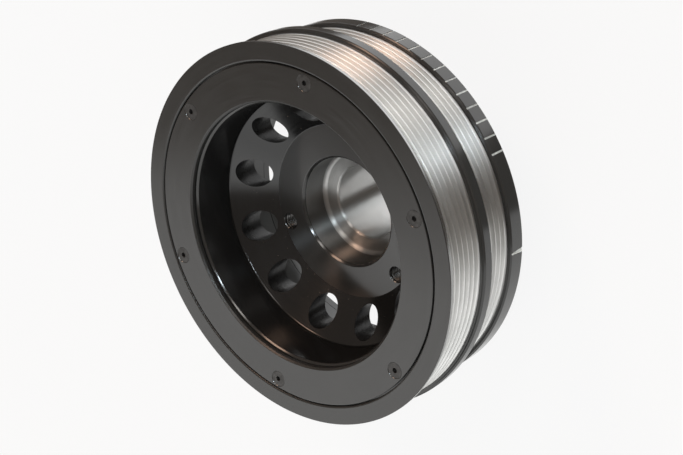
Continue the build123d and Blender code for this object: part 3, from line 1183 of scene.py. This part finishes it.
class BALANCER_OT_cover_screws(bpy.types.Operator):
    """Make one cover screw and set a copy of it in each countersink"""

    bl_idname = "balancer.cover_screws"
    bl_label = "Cover Screws"

    def execute(self, context):
        sizes = context.scene.balancer_plate
        places = screw_places()
        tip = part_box("cover_screw_1")[0].z
        model = make_screw(sizes, places[0].z, tip)
        smooth(model)
        model.data.materials.append(screw_material(context.scene.balancer_finish))
        for number, place in enumerate(places):
            select_only(model)
            bpy.ops.object.duplicate()
            screw = bpy.context.object
            screw.name = f"plate_screw_{number + 1}"
            # Each socket stopped at its own angle when it was tightened
            screw.rotation_euler = (0, 0, number * SCREW_TURN)
            screw.location = (place.x, place.y, 0)
            bpy.ops.object.transform_apply()
            settle(screw, "black_screw", f"cover_screw_{number + 1}")
        bpy.data.objects.remove(model)
        return {"FINISHED"}


def shine(tree, tint, strength, mask):
    """A part of the world's light: its colour, its strength and the mask of where it is."""
    node = tree.nodes.new("ShaderNodeBackground")
    node.inputs["Color"].default_value = (*tint, 1.0)
    tree.links.new(math_node(tree, "MULTIPLY", mask, strength), node.inputs["Strength"])
    return node.outputs[0]


def lamp_mask(tree, direction, place, degrees, soft):
    """Mask of a round lamp: where it stands, half its width and how softly it ends, in degrees."""
    node = tree.nodes.new("ShaderNodeVectorMath")
    node.operation = "DOT_PRODUCT"
    tree.links.new(direction, node.inputs[0])
    node.inputs[1].default_value = Vector(place).normalized()
    outer = math.cos(math.radians(degrees + soft))
    inner = math.cos(math.radians(degrees - soft))
    return ramp(tree, node.outputs["Value"], outer, inner)


def studio_world(stage):
    """The studio: white cards below, a softbox above and behind, three lamps and the dark room."""
    world = bpy.data.worlds.new("studio")
    world.use_nodes = True
    tree = world.node_tree
    tree.nodes.clear()
    direction = tree.nodes.new("ShaderNodeTexCoord").outputs["Generated"]
    up, front = split(tree, direction)[1:]
    drop = ramp(tree, front, *NEAR_EDGE, 0.0, NEAR_DROP)
    card_edge = math_node(tree, "ADD", ramp(tree, front, *AROUND, *CARD_EDGE), drop)
    softness = ramp(tree, front, *NEAR_EDGE, *CARD_SOFTNESS)
    above = math_node(tree, "ADD", up, card_edge)
    card = ramp(tree, math_node(tree, "DIVIDE", above, softness), 1.0, -1.0)
    # The card in front is brighter, most of all near the camera, and the one behind has a dark foot
    gain = ramp(tree, front, *NEAR_GLOW, 0.0, NEAR_GAIN)
    card_light = math_node(tree, "ADD", ramp(tree, front, *AROUND, CARD_BEHIND, 1.0), gain)
    foot = ramp(tree, up, *CARD_FOOT, FOOT_LIGHT, 1.0)
    foot = math_node(tree, "MAXIMUM", foot, ramp(tree, front, *reversed(BEHIND)))
    card_light = math_node(tree, "MULTIPLY", card_light, foot)
    behind = ramp(tree, front, *BEHIND)
    softbox = math_node(tree, "MULTIPLY", ramp(tree, up, *SOFTBOX_EDGE), behind)
    room = math_node(tree, "SUBTRACT", math_node(tree, "SUBTRACT", 1.0, card), softbox)
    room = math_node(tree, "MULTIPLY", room, ramp(tree, front, *AROUND, ROOM_BEHIND, 1.0))
    parts = [
        shine(tree, stage.card, stage.card_strength, math_node(tree, "MULTIPLY", card, card_light)),
        shine(tree, (1.0, 1.0, 1.0), stage.softbox_strength, softbox),
        shine(tree, stage.room, stage.room_strength, room),
    ]
    for place, degrees, soft, tint, strength in LAMPS:
        mask = lamp_mask(tree, direction, place, degrees, soft)
        parts.append(shine(tree, tint, strength, mask))
    total = parts[0]
    for part in parts[1:]:
        add = tree.nodes.new("ShaderNodeAddShader")
        tree.links.new(total, add.inputs[0])
        tree.links.new(part, add.inputs[1])
        total = add.outputs[0]
    output = tree.nodes.new("ShaderNodeOutputWorld")
    tree.links.new(total, output.inputs["Surface"])
    return world


class BALANCER_OT_stage(bpy.types.Operator):
    """Set the pale floor, the soft studio lights and the camera"""

    bl_idname = "balancer.stage"
    bl_label = "Stage"

    def execute(self, context):
        scene = context.scene
        stage = scene.balancer_stage
        deselect()
        bpy.ops.mesh.primitive_plane_add(size=stage.floor_size, location=(0, 0, HUB_LOW.z))
        floor = bpy.context.object
        floor.name = "floor"
        material, tree, shader = new_material("pale_floor", 0.0, 0.0)
        shader.inputs["Base Color"].default_value = (*stage.floor_colour, 1.0)
        shader.inputs["Roughness"].default_value = 1.0
        shader.inputs["Emission Color"].default_value = (1.0, 1.0, 1.0, 1.0)
        shader.inputs["Emission Strength"].default_value = stage.floor_glow
        floor.data.materials.append(material)

        # Only the camera sees the floor: the white cards of the studio light the balancer from below
        floor.visible_diffuse = False
        floor.visible_glossy = False
        floor.visible_shadow = False
        scene.world = studio_world(stage)

        bpy.ops.object.camera_add(location=stage.camera_place, rotation=stage.camera_turn)
        camera = bpy.context.object
        camera.name = "camera"
        camera.data.sensor_width = 36.0
        camera.data.lens = stage.camera_lens
        camera.data.clip_start = 0.01
        camera.data.clip_end = 20.0
        scene.camera = camera
        scene.view_settings.view_transform = "Standard"
        return {"FINISHED"}


class BALANCER_PT_tools(bpy.types.Panel):
    """The steps that build the balancer, in order"""

    bl_idname = "BALANCER_PT_tools"
    bl_label = "Harmonic Balancer"
    bl_space_type = "VIEW_3D"
    bl_region_type = "UI"
    bl_category = "Balancer"

    def draw(self, context):
        for operator in OPERATORS:
            self.layout.operator(operator.bl_idname)


GROUPS = {
    "balancer_ring": BalancerRing,
    "balancer_timing": BalancerTiming,
    "balancer_hub": BalancerHub,
    "balancer_plate": BalancerPlate,
    "balancer_finish": BalancerFinish,
    "balancer_stage": BalancerStage,
}
OPERATORS = (
    BALANCER_OT_inertia_ring,
    BALANCER_OT_hub,
    BALANCER_OT_damping_ring,
    BALANCER_OT_cover_plate,
    BALANCER_OT_cover_screws,
    BALANCER_OT_stage,
)
CLASSES = (*GROUPS.values(), *OPERATORS, BALANCER_PT_tools)


def register():
    for cls in CLASSES:
        bpy.utils.register_class(cls)
    for name, group in GROUPS.items():
        setattr(bpy.types.Scene, name, bpy.props.PointerProperty(type=group))


def unregister():
    for name in GROUPS:
        delattr(bpy.types.Scene, name)
    for cls in reversed(CLASSES):
        bpy.utils.unregister_class(cls)


def write_sizes():
    """Brings the view layer up to date, so that the pieces' places are current."""
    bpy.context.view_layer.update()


def main():
    register()
    bpy.ops.balancer.inertia_ring()
    bpy.ops.balancer.hub()
    bpy.ops.balancer.damping_ring()
    bpy.ops.balancer.cover_plate()
    bpy.ops.balancer.cover_screws()
    bpy.ops.balancer.stage()
    write_sizes()


if __name__ == "__main__":
    main()
